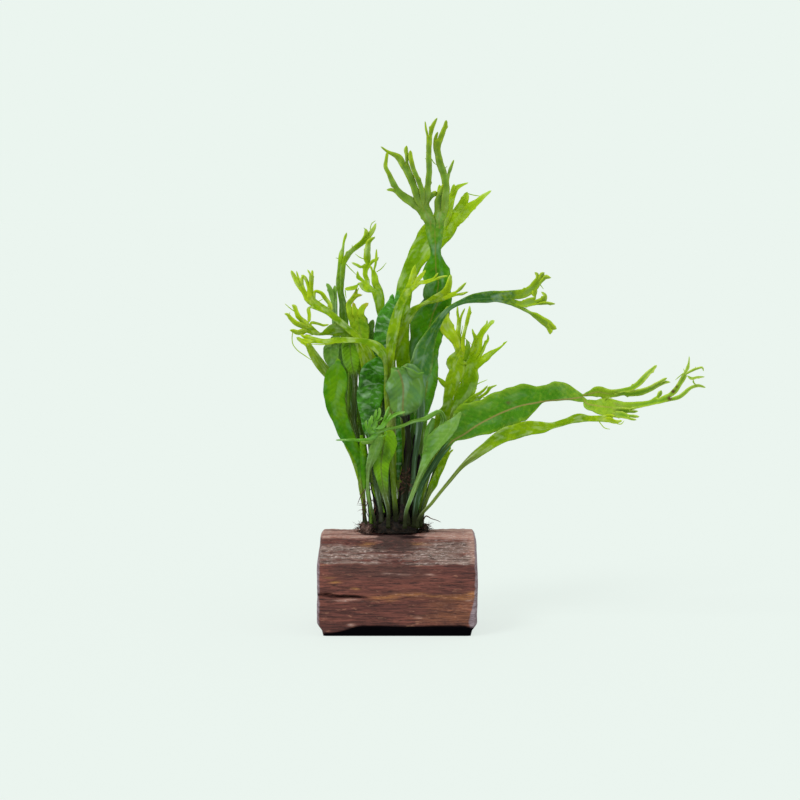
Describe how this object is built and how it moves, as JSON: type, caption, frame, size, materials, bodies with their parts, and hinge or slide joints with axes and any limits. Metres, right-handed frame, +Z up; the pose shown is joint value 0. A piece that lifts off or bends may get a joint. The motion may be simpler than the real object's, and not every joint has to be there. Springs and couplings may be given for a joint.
{
  "type": "java fern on driftwood",
  "caption": "Lace-tipped java fern whose strap leaves end in forked crests, rooted by a dark creeping stem on a short split driftwood block with a flat base.",
  "frame": {"origin": "middle of the driftwood block's flat underside", "axes": "+Z up from the flat base, -Y towards the viewer of the picture (the block's weathered front), +X along the block to the viewer's right"},
  "size_m": [0.1554, 0.0701, 0.1913],
  "materials": {
    "driftwood": "matte",
    "rhizome": "matte",
    "roots": "matte",
    "frond": "satin"
  },
  "bodies": {
    "root": {"driftwood": "driftwood", "rhizome": "rhizome", "root_clump_left": "roots", "root_clump_right": "roots", "tall_frond": "frond", "tall_back_frond": "frond", "light_centre_frond": "frond", "crossing_frond": "frond", "arching_frond": "frond", "long_right_frond": "frond", "low_right_frond": "frond", "small_yellow_frond": "frond", "broad_pale_frond": "frond", "yellow_right_frond": "frond", "yellow_right_back_frond": "frond", "right_behind_frond": "frond", "round_front_frond": "frond", "front_strap_frond": "frond", "small_front_frond": "frond", "lower_light_frond": "frond", "broad_left_frond": "frond", "yellow_left_frond": "frond", "streaky_left_frond": "frond", "dark_glossy_frond": "frond", "glossy_centre_frond": "frond", "left_spire_frond": "frond", "left_branching_frond": "frond", "upper_left_frond": "frond", "middle_left_frond": "frond", "low_left_strap_frond": "frond", "short_left_frond": "frond", "bronze_young_frond": "frond", "pale_centre_left_frond": "frond", "pale_left_frond": "frond", "back_left_frond": "frond", "back_centre_frond": "frond", "back_right_frond": "frond", "back_low_left_frond": "frond", "back_low_right_frond": "frond"}
  },
  "joints": []
}
